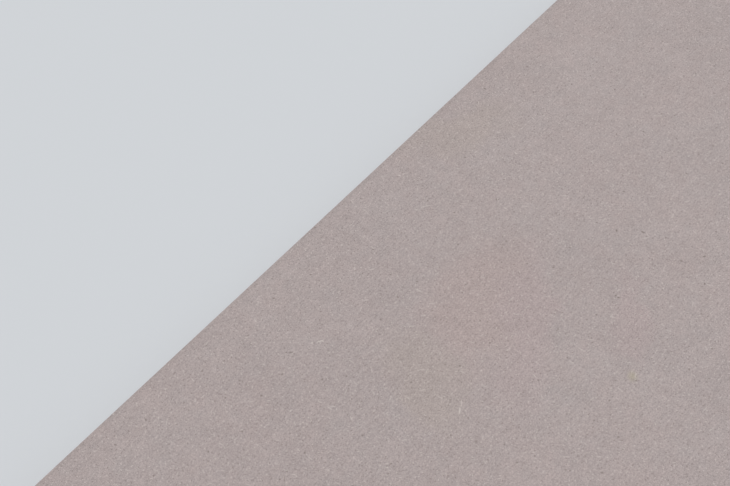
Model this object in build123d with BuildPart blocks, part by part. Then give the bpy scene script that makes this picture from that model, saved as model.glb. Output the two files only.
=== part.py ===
from build123d import *

import os

# Project panel of plain medium density fibreboard, lying flat on its back face.
# Frame: X along the length, Y across the width, Z up through the thickness.
# The origin is the centre of the back face. All sizes are in millimetres.

# Trade size of the panel, a quarter of a full sheet (4 x 2 ft)
panel_length = 1220.0
panel_width = 610.0
panel_thickness = 18.0

# The saw leaves every edge square. Handling takes a little off the sharp ones.
corner_radius = 1.0  # the four upright edges at the corners
arris_radius = 0.5  # the edges round the front and back faces

with BuildPart() as mdf_panel:
    # The sawn outline, through the full thickness of the board
    with BuildSketch(Plane.XY):
        RectangleRounded(panel_length, panel_width, corner_radius)
    extrude(amount=panel_thickness)

    # The eased arrises, which run round both faces and over the corners
    back_face, front_face = mdf_panel.faces().filter_by(Axis.Z).sort_by(Axis.Z)
    fillet(front_face.edges() + back_face.edges(), radius=arris_radius)

mdf_panel.part.label = "mdf_panel"

os.makedirs("parts", exist_ok=True)
export_step(mdf_panel.part, "parts/mdf_panel.step")
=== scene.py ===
# A panel of medium density fibreboard that lies on a pale floor. Shapes are in metres, patterns in mm.

import math

import bmesh
import bpy
from mathutils import Matrix, Vector, noise


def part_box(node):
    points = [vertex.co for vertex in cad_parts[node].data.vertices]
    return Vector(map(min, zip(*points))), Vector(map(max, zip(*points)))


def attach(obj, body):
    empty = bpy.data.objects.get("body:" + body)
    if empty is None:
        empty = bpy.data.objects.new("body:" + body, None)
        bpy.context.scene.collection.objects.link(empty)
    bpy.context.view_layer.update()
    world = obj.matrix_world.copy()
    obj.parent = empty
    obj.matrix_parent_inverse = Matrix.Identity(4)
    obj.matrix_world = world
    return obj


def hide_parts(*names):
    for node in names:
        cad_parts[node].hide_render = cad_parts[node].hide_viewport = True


mm = 1000.0  # in a metre

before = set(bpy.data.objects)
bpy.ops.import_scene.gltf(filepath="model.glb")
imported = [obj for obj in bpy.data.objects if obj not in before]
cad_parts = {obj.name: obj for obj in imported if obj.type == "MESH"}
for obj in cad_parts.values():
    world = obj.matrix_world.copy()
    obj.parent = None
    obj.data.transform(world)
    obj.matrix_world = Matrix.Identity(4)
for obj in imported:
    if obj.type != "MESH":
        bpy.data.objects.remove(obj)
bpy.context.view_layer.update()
panelLow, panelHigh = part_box("mdf_panel")
panelSize = panelHigh - panelLow
panelMiddle = (panelHigh + panelLow) / 2
print("frame loaded")

# Camera

photo = {"width": 730, "height": 486}  # pixels

shot = {
    "azimuth": -52.37,  # degrees round from where it would look along +Y, here on the -X side
    "elevation": 48.0,  # degrees above the board
    "lens": 80.0,  # mm
    "sensor": 36.0,  # mm, the width of the picture behind the lens
    "distance": 0.811,  # m from the lens to the middle of the picture
    "inFromEdge": 0.0276,  # m from the long edge to the middle of the picture
    "alongEdge": 0.0,  # m from the middle of the panel to the middle of the picture, along X
    "nearest": 0.01,  # m, nothing nearer is drawn
    "furthest": 200.0,  # m, nothing further off is drawn
}


def towards(azimuth, elevation):
    # The direction from the panel to something that stands at these angles
    turn, rise = math.radians(azimuth), math.radians(elevation)
    return Vector((math.sin(turn) * math.cos(rise), -math.cos(turn) * math.cos(rise), math.sin(rise)))


def makeCamera(shot):
    back = towards(shot["azimuth"], shot["elevation"])
    target = Vector((shot["alongEdge"], panelHigh.y - shot["inFromEdge"], panelHigh.z))
    camera = bpy.data.objects.new("camera", bpy.data.cameras.new("camera"))
    bpy.context.scene.collection.objects.link(camera)
    camera.data.lens = shot["lens"]
    camera.data.sensor_width = shot["sensor"]
    camera.data.clip_start = shot["nearest"]
    camera.data.clip_end = shot["furthest"]
    camera.location = target + back * shot["distance"]
    camera.rotation_euler = (-back).to_track_quat("-Z", "Y").to_euler()
    bpy.context.scene.camera = camera
    return camera


camera = makeCamera(shot)
print("camera placed")


# Shader maths

class Wire:
    # One output of a node. Arithmetic on it adds Math nodes.
    def __init__(self, tree, socket=None):
        self.tree = tree
        self.socket = socket

    def node(self, kind, settings=None, sockets=None, out=0):
        made = self.tree.nodes.new("ShaderNode" + kind)
        for name, value in (settings or {}).items():
            setattr(made, name, value)
        for name, value in (sockets or {}).items():
            if isinstance(value, Wire):
                self.tree.links.new(value.socket, made.inputs[name])
            else:
                made.inputs[name].default_value = value
        return Wire(self.tree, made.outputs[out] if made.outputs else None)

    def also(self, name):  # another output of the same node
        return Wire(self.tree, self.socket.node.outputs[name])

    def maths(self, operation, *others):
        return self.node("Math", {"operation": operation}, dict(enumerate((self, *others))))

    def reflected(self, operation, other):  # with the other value first
        return self.node("Math", {"operation": operation}, {0: other, 1: self})

    def vector(self, operation, *others, out=0):
        return self.node("VectorMath", {"operation": operation}, dict(enumerate((self, *others))), out)

    def __add__(self, other):
        return self.maths("ADD", other)

    def __sub__(self, other):
        return self.maths("SUBTRACT", other)

    def __rsub__(self, other):
        return self.reflected("SUBTRACT", other)

    def __mul__(self, other):
        return self.maths("MULTIPLY", other)

    def __truediv__(self, other):
        return self.maths("DIVIDE", other)

    def __rtruediv__(self, other):
        return self.reflected("DIVIDE", other)

    def __abs__(self):
        return self.maths("ABSOLUTE")

    __radd__ = __add__
    __rmul__ = __mul__

    def step(self, low, high):  # 0 below low, 1 above high, smooth between
        return self.node("MapRange", {"interpolation_type": "SMOOTHSTEP"},
                         {"Value": self, "From Min": low, "From Max": high})

    def tint(self, colour, share):  # a colour mixed towards another
        return self.node("Mix", {"data_type": "RGBA"}, {0: share, 6: self, 7: (*colour, 1.0)}, 2)

    def scaled(self, factor):  # a vector or a colour times a number
        return self.node("VectorMath", {"operation": "SCALE"}, {0: self, "Scale": factor})


def newMaterial(name):
    # An empty material, and where a point of it is in millimetres
    material = bpy.data.materials.new(name)
    material.use_nodes = True
    material.node_tree.nodes.clear()
    return material, Wire(material.node_tree).node("TexCoord", out="Object").scaled(mm)


def finished(material, sockets):
    # The material with its shader. A socket that isn't given keeps its default.
    shader = Wire(material.node_tree).node("BsdfPrincipled", None, sockets)
    shader.node("OutputMaterial", None, {"Surface": shader})
    return material


def between(share, first, second):
    # One colour at a share of 0, the other at 1
    return share.node("Mix", {"data_type": "RGBA"}, {0: share, 6: (*first, 1.0), 7: (*second, 1.0)}, 2)


# The sanded faces

faceLook = {
    "cool": (0.412, 0.3635, 0.358),  # the face drifts between these two
    "warm": (0.434, 0.3535, 0.3405),
    "pink": (0.435, 0.353, 0.3475),  # this one and the next are in clouds only
    "straw": (0.424, 0.359, 0.338),
    "stain": (0.413, 0.359, 0.301),
    "pale": (0.62, 0.56, 0.53),  # bare fibres
    "dark": (0.20, 0.165, 0.15),  # specks of bark
    # Noise in layers, each so many mm long and mm wide, turned by degrees, and so strong
    "felt": [(1.4, 0.35, turn, 0.34) for turn in (8.0, 52.0, 97.0, 143.0)],
    "sanding": [(30.0, 0.6, 0.0, 0.12), (4.5, 0.9, 0.0, 0.15)],
    "grain": [(0.45, 0.45, 0.0, 0.62), (1.0, 1.0, 0.0, 0.14)],
    "mottle": [
        (4.2, 4.8, 0.0, 0.115),
        (11.0, 14.0, 0.0, 0.08),
        (25.0, 34.0, 0.0, 0.05),
        (100.0, 120.0, 0.0, 0.06),
    ],
    "hues": [(6.0, 5.0, 0.0, 0.3), (16.0, 13.0, 40.0, 0.35), (70.0, 55.0, 0.0, 0.35)],
    # Loose fibres and specks: sizes in mm, the share of cells that have one, and how strongly it shows
    "loose": [
        {"colour": "pale", "seed": 13, "cell": 9.0, "length": 3.4, "width": 0.4,
         "share": 0.5, "show": 0.6},
        {"colour": "pale", "seed": 29, "cell": 2.8, "length": 1.3, "width": 0.35,
         "share": 0.5, "show": 0.79},
        {"colour": "dark", "seed": 57, "cell": 16.0, "length": 1.4, "width": 0.8,
         "share": 0.6, "show": 0.7},
        {"colour": "dark", "seed": 71, "cell": 2.8, "length": 1.1, "width": 0.4,
         "share": 0.6, "show": 0.64},
    ],
    "margin": 4.0,  # mm in from the edge that handling has darkened
    "marginDrop": 0.05,  # how much of the tone is lost at the edge itself
    "roughness": 0.78,
    "roughnessDrift": 0.3,  # the paler, the smoother
    "bumpStrength": 0.3,
    "bumpDepth": 0.00005,  # m
}

layering = {  # every layer of noise has its own start, so that none repeats another
    "group": 200.0,  # mm along from one group's start to the next one's
    "layer": 31.0,  # mm along from one layer's start to the next one's
    "skew": 0.7,  # mm across for each mm along
    "detail": 1.0,
}

fibreShape = {
    "scatter": 0.8,  # how freely the fibres lie, from 0 on a grid to 1 anywhere
    "shortest": 0.4,  # of the longest one's length
    "taper": 0.6,  # of the half length, where the end starts to fade
    "sideCore": 0.25,  # of the width out from the middle line, where the side starts to fade
    "sideEnd": 0.75,  # of the width out from the middle line, where it is gone
    "cutOff": 0.02,  # of the range of chance, between a cell with a fibre and one without
}

# Kinds of mark: how many mm wide, how much of that is even, and how strongly it shows
paleMark = {"colour": "pale", "width": 1.0, "core": 0.55, "share": 0.75}
faintMark = {"colour": "pale", "width": 1.0, "core": 0.55, "share": 0.52}
darkMark = {"colour": "dark", "width": 1.3, "core": 0.25, "share": 0.9}
darkHair = {"colour": "dark", "width": 0.7, "core": 0.4, "share": 0.8}
softSpot = {"colour": "dark", "width": 1.5, "core": 0.0, "share": 0.75}
wideSpot = {"colour": "dark", "width": 2.8, "core": 0.0, "share": 0.5}

marks = {  # each between two pixels of the photograph
    "longFibreTop": {"from": (461.6, 399.6), "to": (461.3, 407.0), **faintMark},
    "longFibreFoot": {"from": (460.0, 406.8), "to": (459.4, 414.2), **paleMark},
    "levelFibre": {"from": (316.0, 342.6), "to": (324.0, 339.8), **paleMark},
    "levelFibreFoot": {"from": (311.0, 343.3), "to": (313.2, 342.3), **paleMark},
    "fibreByChip": {"from": (642.0, 238.5), "to": (649.0, 237.6), **faintMark},
    "flakeByEdge": {"from": (398.5, 175.0), "to": (400.2, 175.8), **paleMark},
    "shortFibre": {"from": (415.5, 288.6), "to": (422.5, 292.4), **faintMark},
    "faintFibre": {"from": (329.8, 406.5), "to": (335.5, 406.4), **faintMark},
    "highFibre": {"from": (421.0, 207.2), "to": (430.5, 205.0), **faintMark},
    "slantedChip": {"from": (641.0, 231.3), "to": (645.0, 233.0), **darkMark},
    "uprightChip": {"from": (616.7, 229.5), "to": (616.7, 231.5), **darkMark},
    "levelHair": {"from": (288.5, 352.5), "to": (293.5, 352.5), **darkHair},
    "chipOnPink": {"from": (618.0, 297.5), "to": (619.0, 297.5), **darkMark},
    "farRightChip": {"from": (703.2, 256.8), "to": (705.2, 256.2), **darkMark},
    "rightChip": {"from": (680.4, 261.0), "to": (682.6, 261.0), **darkMark},
    "farRightSpeck": {"from": (704.7, 283.2), "to": (704.7, 284.2), **darkMark},
    "lowChip": {"from": (601.0, 472.5), "to": (603.5, 473.0), **softSpot},
    "roundSpeck": {"from": (475.8, 441.5), "to": (476.2, 441.9), **wideSpot},
    "smallSpeck": {"from": (504.4, 444.2), "to": (504.5, 445.2), **softSpot},
    "speckByEdge": {"from": (483.8, 88.2), "to": (486.2, 89.2), **darkMark},
}

# Kinds of cloud, which is a faint patch of another hue under the grain
warmHue = {"colour": "warm", "core": 0.3, "share": 1.0}
pinkHue = {"colour": "pink", "core": 0.3, "share": 0.75}
strawHue = {"colour": "straw", "core": 0.3, "share": 0.8}

clouds = {  # each between two pixels of the photograph, and so many mm wide
    "warmCloud": {"from": (497.0, 262.0), "to": (460.0, 352.0), "width": 68.0, **warmHue},
    "pinkCloud": {"from": (533.0, 252.0), "to": (517.0, 410.0), "width": 38.0, **pinkHue},
    "pinkAtRight": {"from": (624.0, 280.0), "to": (640.0, 355.0), "width": 26.0, **pinkHue},
    "strawCloud": {"from": (406.0, 345.0), "to": (446.0, 415.0), "width": 42.0, **strawHue},
    "strawByEdge": {"from": (425.0, 148.0), "to": (510.0, 112.0), "width": 38.0, **strawHue},
}

wander = {  # of the clouds' outlines
    "length": 25.0,  # mm from one turn to the next
    "detail": 2.0,
    "stray": 30.0,  # mm that they stray over the whole range of the noise
}

stains = {  # between two pixels of the photograph, and so many mm wide
    "resinStain": {"from": (632.3, 374.0), "to": (632.8, 378.5), "width": 7.0,
                   "colour": "stain", "core": 0.1, "share": 1.0},
}


def grain(here, size, turn, shift):
    # Noise about 0 on the face, drawn out to size[0] by size[1] millimetres and turned by degrees
    laid = here.node("Mapping", {"vector_type": "TEXTURE"}, {
        "Vector": here, "Location": (shift, shift * layering["skew"], 0.0),
        "Rotation": (0.0, 0.0, math.radians(turn)), "Scale": (*size, 1.0)})
    value = here.node("TexNoise", {"noise_dimensions": "2D"}, {
        "Vector": laid, "Scale": 1.0, "Detail": layering["detail"]})
    return value - 0.5


def summed(here, look, names):
    # The layers of each named group added up
    sums = {}
    for group, name in enumerate(names):
        shift = group * layering["group"]
        sums[name] = 0.0
        for length, width, turn, strength in look[name]:
            shift += layering["layer"]
            sums[name] = grain(here, (length, width), turn, shift) * strength + sums[name]
    return sums


def fibres(here, spec):
    # Short fibres, at most one to a cell, each at its own place, length and angle: how strongly they show
    shifted = here.vector("ADD", (spec["seed"],) * 3)
    cell = {"Vector": shifted, "Scale": 1.0 / spec["cell"], "Randomness": fibreShape["scatter"]}
    centre = here.node("TexVoronoi", {"voronoi_dimensions": "2D", "feature": "F1"}, cell, "Position")
    chance = centre.node("SeparateColor", None, {0: centre.also("Color")})
    turned = centre.node("VectorRotate", {"rotation_type": "Z_AXIS"}, {
        "Vector": shifted.vector("SUBTRACT", centre), "Angle": chance * math.pi})
    apart = centre.node("SeparateXYZ", None, {0: turned})
    shortest = fibreShape["shortest"]
    halfLength = (chance.also("Green") * (1 - shortest) + shortest) * (spec["length"] / 2)
    ends = 1 - (abs(apart) / halfLength).step(fibreShape["taper"], 1.0)
    sideCore, sideEnd = (spec["width"] * fibreShape[part] for part in ("sideCore", "sideEnd"))
    sides = 1 - abs(apart.also("Y")).step(sideCore, sideEnd)
    empty = 1 - spec["share"]
    filled = chance.also("Blue").step(empty, empty + fibreShape["cutOff"])
    return ends * sides * filled * spec["show"]


def onBoard(pixel):
    # The point of the front face that a pixel of the photograph shows
    perPixel = shot["sensor"] / photo["width"]
    right = (pixel[0] - photo["width"] / 2) * perPixel
    up = (photo["height"] / 2 - pixel[1]) * perPixel
    ray = camera.rotation_euler.to_matrix() @ Vector((right, up, -shot["lens"]))
    return camera.location + ray * ((panelHigh.z - camera.location.z) / ray.z)


def markOn(here, mark):
    # An oval round the line between two pixels of the photograph: the mark's share inside, 0 outside
    first, last = (onBoard(mark[end]) * mm for end in ("from", "to"))
    run = last - first
    laid = here.node("Mapping", {"vector_type": "TEXTURE"}, {
        "Vector": here, "Location": (first + last) / 2,
        "Rotation": (0.0, 0.0, math.atan2(run.y, run.x)),
        "Scale": ((run.length + mark["width"]) / 2, mark["width"] / 2, 1.0)})
    return (1 - laid.vector("LENGTH", out="Value").step(mark["core"], 1.0)) * mark["share"]


def tinted(colour, look, here, spots):
    # A colour with some marks, stains or clouds on it
    for spot in spots.values():
        colour = colour.tint(look[spot["colour"]], markOn(here, spot))
    return colour


def astray(here):
    # The same place, moved about on the face by some millimetres
    noises = here.node("TexNoise", {"noise_dimensions": "2D"}, {
        "Vector": here, "Scale": 1 / wander["length"], "Detail": wander["detail"]}, "Color")
    stray = (wander["stray"], wander["stray"], 0.0)
    return here.vector("ADD", noises.vector("SUBTRACT", (0.5, 0.5, 0.5)).vector("MULTIPLY", stray))


def faceMaterial(look):
    material, here = newMaterial("sandedFace")
    place = here.node("SeparateXYZ", None, {0: here})
    fromEnd = panelSize.x / 2 * mm - abs(place)
    fromSide = panelSize.y / 2 * mm - abs(place.also("Y"))
    margin = 1 - fromEnd.maths("MINIMUM", fromSide).step(0.0, look["margin"])
    sums = summed(here, look, ("felt", "sanding", "grain", "mottle", "hues"))
    relief = sums["felt"] + sums["sanding"]
    tone = 1.0 + relief + sums["grain"] + sums["mottle"] - margin * look["marginDrop"]
    colour = between(0.5 + sums["hues"], look["cool"], look["warm"])
    colour = tinted(colour, look, astray(here), clouds)
    colour = tinted(colour, look, here, stains).scaled(tone)
    for spec in look["loose"]:
        colour = colour.tint(look[spec["colour"]], fibres(here, spec))
    colour = tinted(colour, look, here, marks)
    roughness = look["roughness"] - (relief + sums["mottle"]) * look["roughnessDrift"]
    bump = here.node("Bump", None, {
        "Strength": look["bumpStrength"], "Distance": look["bumpDepth"], "Height": relief})
    return finished(material, {"Base Color": colour, "Roughness": roughness, "Normal": bump})


# The sawn edges

edgeLook = {
    "base": (0.392, 0.322, 0.298),
    "pale": (0.440, 0.374, 0.350),  # fibres cut across
    "paleFrom": (0.025, 0.25),  # of the strata noise, where the pale fibres start and are whole
    "strata": (1.7, 1.7, 0.16),  # mm along X, Y and Z, fibres pressed flat
    "strataStrength": 0.3,
    "fuzz": (0.5, 0.5, 0.5),  # mm, the nap that the saw raises
    "fuzzStrength": 0.45,
    "detail": 2.0,  # of each noise
    "sawLine": 0.45,  # mm between the lines that the teeth leave
    "sawStrength": 0.18,
    # The ripple's tone is partly painted shade that makes the blade's ripple show, and partly the burnish
    # that the blade leaves
    "rippleShadeAndBurnish": 0.02,
    "crust": 2.5,  # mm under each face, where the fibre is pressed tighter
    "crustDrop": 0.05,  # how much darker it is there
    "crustPolish": 0.06,  # how much smoother it is there
    "roughness": 0.88,
    "roughnessDrift": 0.2,  # the paler the nap, the rougher
    "bumpStrength": 0.5,
    "bumpDepth": 0.0001,  # m
    "bumpShares": {"strata": 0.6, "fuzz": 0.8, "lines": 0.6},
}

saw = {  # the circular blade that cut the panel, whose rim leaves marks in arcs
    "radius": 0.175,  # m
    "drop": 0.13,  # m from the middle of the board down to the blade's axle
    "pitch": 0.0052,  # m that the board moves in one turn of the blade
}


def solidGrain(here, size, detail):
    # Noise about 0 all through the board, drawn out to so many millimetres along X, Y and Z
    laid = here.node("Mapping", {"vector_type": "TEXTURE"}, {"Vector": here, "Scale": size})
    return here.node("TexNoise", None, {"Vector": laid, "Scale": 1.0, "Detail": detail}) - 0.5


def edgeMaterial(look):
    material, here = newMaterial("sawnEdge")
    place = here.node("SeparateXYZ", None, {0: here})
    height = place.also("Z") - panelMiddle.z * mm
    # How far along the cut a point is, with the blade's arc counted in
    overAxle = height + saw["drop"] * mm
    sweep = place + place.also("Y") + ((saw["radius"] * mm) ** 2 - overAxle * overAxle).maths("SQRT")
    strata, fuzz = (solidGrain(here, look[name], look["detail"]) for name in ("strata", "fuzz"))
    lines = here.node("TexNoise", {"noise_dimensions": "1D"}, {
        "W": sweep / look["sawLine"], "Scale": 1.0, "Detail": look["detail"]}) - 0.5
    # Painted shade of the blade's ripple, with its burnish: a tone that rises and falls along the cut in
    # step with the carved ripple
    ripple = (sweep * (math.tau / (saw["pitch"] * mm))).maths("SINE")
    crust = abs(height).step(panelSize.z / 2 * mm - look["crust"], panelSize.z / 2 * mm)
    tone = (1.0 + strata * look["strataStrength"] + fuzz * look["fuzzStrength"]
            + lines * look["sawStrength"] + ripple * look["rippleShadeAndBurnish"] - crust * look["crustDrop"])
    colour = between(strata.step(*look["paleFrom"]), look["base"], look["pale"]).scaled(tone)
    roughness = look["roughness"] + fuzz * look["roughnessDrift"] - crust * look["crustPolish"]
    shares = look["bumpShares"]
    bump = here.node("Bump", None, {
        "Strength": look["bumpStrength"], "Distance": look["bumpDepth"],
        "Height": strata * shares["strata"] + fuzz * shares["fuzz"] + lines * shares["lines"]})
    return finished(material, {"Base Color": colour, "Roughness": roughness, "Normal": bump})


# The panel

panelShape = {
    "cornerRadius": 0.001,  # m, on the four upright edges
    "arrisRadius": 0.0005,  # m, on the edges round both faces
    "roundSteps": 4,  # faces across a rounded edge
    "column": 0.001,  # m between the columns of vertices along a sawn edge
    "rows": 10,  # faces up the flat of a sawn edge
    "rings": (0.002, 0.006, 0.014, 0.030, 0.062),  # m in from the edge, where a face's mesh gets coarser
    "sawDepth": 0.00003,  # m, of the ripple that the blade leaves
    "wear": 0.00005,  # m that handling takes off the arris at most
    "wearReach": 0.001,  # m from the face that the wear goes
    "wearLength": 0.006,  # m between one worn place and the next
    "faceEnds": 0.7,  # how level the arris is where the face's finish meets the edge's
    "flat": 0.999,  # how level a face is that isn't shaded smooth
}


def roundOff(bm, edges, radius, steps):
    bmesh.ops.bevel(bm, geom=edges, offset=radius, offset_type="OFFSET", segments=steps, profile=0.5,
                    affect="EDGES", material=-1, clamp_overlap=False)


def along(bm, axis):
    # The edges that reach over more than half of the panel along X, Y or Z, numbered 0 to 2
    half = panelSize[axis] / 2
    return [edge for edge in bm.edges if abs(edge.verts[0].co[axis] - edge.verts[1].co[axis]) > half]


def largestTwo(bm):
    # The front and the back
    return sorted(bm.faces, key=lambda face: face.calc_area())[-2:]


def makeWall(bm, shape):
    # The sawn edges and their arrises, as a band that is open above and below
    bmesh.ops.create_cube(bm, size=1.0)
    bmesh.ops.scale(bm, vec=panelSize, verts=bm.verts)
    bmesh.ops.translate(bm, vec=panelMiddle, verts=bm.verts)
    roundOff(bm, along(bm, 2), shape["cornerRadius"], shape["roundSteps"])
    faces = largestTwo(bm)
    outlines = [edge for face in faces for edge in face.edges]
    roundOff(bm, outlines, shape["arrisRadius"], shape["roundSteps"])
    bmesh.ops.delete(bm, geom=largestTwo(bm), context="FACES_ONLY")
    for axis in (0, 1):
        columns = round(panelSize[axis] / shape["column"])
        bmesh.ops.subdivide_edges(bm, edges=along(bm, axis), cuts=columns - 1)
    bmesh.ops.subdivide_edges(bm, edges=along(bm, 2), cuts=shape["rows"] - 1)


def carveWall(bm, shape):
    # The blade's ripple on the flat, and the wear along the arrises. The rims stay where they are.
    bm.normal_update()
    for vert in bm.verts:
        if vert.is_boundary:
            continue
        place = vert.co - panelMiddle
        fromRim = panelSize.z / 2 - abs(place.z)
        onArris = max(0.0, 1 - fromRim / shape["wearReach"])
        arc = math.sqrt(saw["radius"] ** 2 - (saw["drop"] + place.z) ** 2)
        ripple = 0.5 + 0.5 * math.sin(math.tau * (place.x + place.y + arc) / saw["pitch"])
        worn = 0.5 + 0.5 * noise.noise(place / shape["wearLength"])
        depth = ripple * shape["sawDepth"] * (1 - onArris) + worn * shape["wear"] * onArris
        vert.co -= vert.normal * depth


def closeFace(bm, side, shape):
    # The front where side is 1 and the back where it is -1, from the rim inwards in rings. Each ring has
    # half as many vertices as the one outside it.
    rims = [edge for edge in bm.edges if edge.is_boundary]
    rim = [edge for edge in rims if (edge.verts[0].co.z - panelMiddle.z) * side > 0]
    cap = bmesh.ops.contextual_create(bm, geom=rim)["faces"][0]
    aboutMiddle = Matrix.Translation(-panelMiddle)
    nearer = shape["arrisRadius"]
    for further in shape["rings"]:
        bmesh.ops.inset_individual(bm, faces=[cap], thickness=0.0)
        shrink = [(half - further) / (half - nearer) for half in panelSize.xy / 2]
        bmesh.ops.scale(bm, vec=(*shrink, 1.0), verts=cap.verts, space=aboutMiddle)
        bmesh.ops.collapse(bm, edges=list(cap.edges)[::2])
        nearer = further
    bmesh.ops.triangulate(bm, faces=[cap])


def panelMesh(shape):
    bm = bmesh.new()
    makeWall(bm, shape)
    carveWall(bm, shape)
    for side in (1.0, -1.0):
        closeFace(bm, side, shape)
    bmesh.ops.recalc_face_normals(bm, faces=bm.faces)
    for face in bm.faces:
        level = abs(face.normal.z)
        face.material_index = 0 if level > shape["faceEnds"] else 1  # 0 is sanded and 1 is sawn
        face.smooth = level < shape["flat"]
    mesh = bpy.data.meshes.new("fibreboardPanel")
    bm.to_mesh(mesh)
    bm.free()
    mesh.calc_loop_triangles()
    print("panel shaped,", len(mesh.loop_triangles), "triangles")
    return mesh


def makePanel():
    mesh = panelMesh(panelShape)
    mesh.materials.append(faceMaterial(faceLook))
    mesh.materials.append(edgeMaterial(edgeLook))
    panel = bpy.data.objects.new("fibreboardPanel", mesh)
    bpy.context.scene.collection.objects.link(panel)
    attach(panel, "root")
    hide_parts("mdf_panel")
    print("panel finished")


makePanel()


# Floor, world and lamps

studio = {
    "floorColour": (0.70, 0.725, 0.755),
    "floorRadius": 60.0,  # m
    "floorSides": 96,
    "floorGap": 0.0003,  # m under the panel
    "floorFade": (5.0, 25.0),  # m from the panel, where the floor turns into the backdrop
    "skyLevel": 0.453,  # the share of a level surface's own colour that the world brings out
    "keyLevel": 0.453,  # the share that the lamp brings out
    "keyAzimuth": 102.0,  # degrees, counted as the camera's are
    "keyElevation": 52.0,
    "keyAngle": 24.0,  # degrees across, for soft shadows
}


def backdrop(studio):
    # The colour that the floor has in this light, so that no horizon shows
    level = studio["skyLevel"] + studio["keyLevel"]
    return (*(part * level for part in studio["floorColour"]), 1.0)


def floorMaterial(studio):
    material, here = newMaterial("floor")
    near, far = studio["floorFade"]
    away = here.vector("LENGTH", out="Value").step(near * mm, far * mm)
    plain = here.node("BsdfDiffuse", None, {"Color": (*studio["floorColour"], 1.0)})
    glow = here.node("Emission", None, {"Color": backdrop(studio), "Strength": 1.0})
    mixed = here.node("MixShader", None, {0: away, 1: plain, 2: glow})
    here.node("OutputMaterial", None, {"Surface": mixed})
    return material


def makeFloor(studio):
    bm = bmesh.new()
    bmesh.ops.create_circle(bm, cap_ends=True, segments=studio["floorSides"], radius=studio["floorRadius"])
    bmesh.ops.translate(bm, verts=bm.verts, vec=(0.0, 0.0, panelLow.z - studio["floorGap"]))
    mesh = bpy.data.meshes.new("floor")
    bm.to_mesh(mesh)
    bm.free()
    mesh.materials.append(floorMaterial(studio))
    floor = bpy.data.objects.new("floor", mesh)
    bpy.context.scene.collection.objects.link(floor)


def makeWorld(studio):
    # An even pale sky for light. The camera, reflections and glass see the backdrop instead.
    world = bpy.data.worlds.new("studio")
    bpy.context.scene.world = world
    world.use_nodes = True
    world.node_tree.nodes.clear()
    rays = Wire(world.node_tree).node("LightPath", out="Is Camera Ray")
    seen = rays
    for kind in ("Is Glossy Ray", "Is Transmission Ray"):
        seen = seen.maths("MAXIMUM", rays.also(kind))
    sky = rays.node("Background", None, {"Color": (1.0, 1.0, 1.0, 1.0), "Strength": studio["skyLevel"]})
    wall = rays.node("Background", None, {"Color": backdrop(studio), "Strength": 1.0})
    rays.node("OutputWorld", None, {"Surface": rays.node("MixShader", None, {0: seen, 1: sky, 2: wall})})


def makeKey(studio):
    lamp = bpy.data.lights.new("key", "SUN")
    lamp.angle = math.radians(studio["keyAngle"])
    # Stronger the lower it stands, so that a level surface gets the same light
    lamp.energy = studio["keyLevel"] * math.pi / math.sin(math.radians(studio["keyElevation"]))
    key = bpy.data.objects.new("key", lamp)
    bpy.context.scene.collection.objects.link(key)
    back = towards(studio["keyAzimuth"], studio["keyElevation"])
    key.rotation_euler = (-back).to_track_quat("-Z", "Y").to_euler()


makeFloor(studio)
makeWorld(studio)
makeKey(studio)
bpy.context.scene.view_settings.view_transform = "Standard"
print("studio lit")
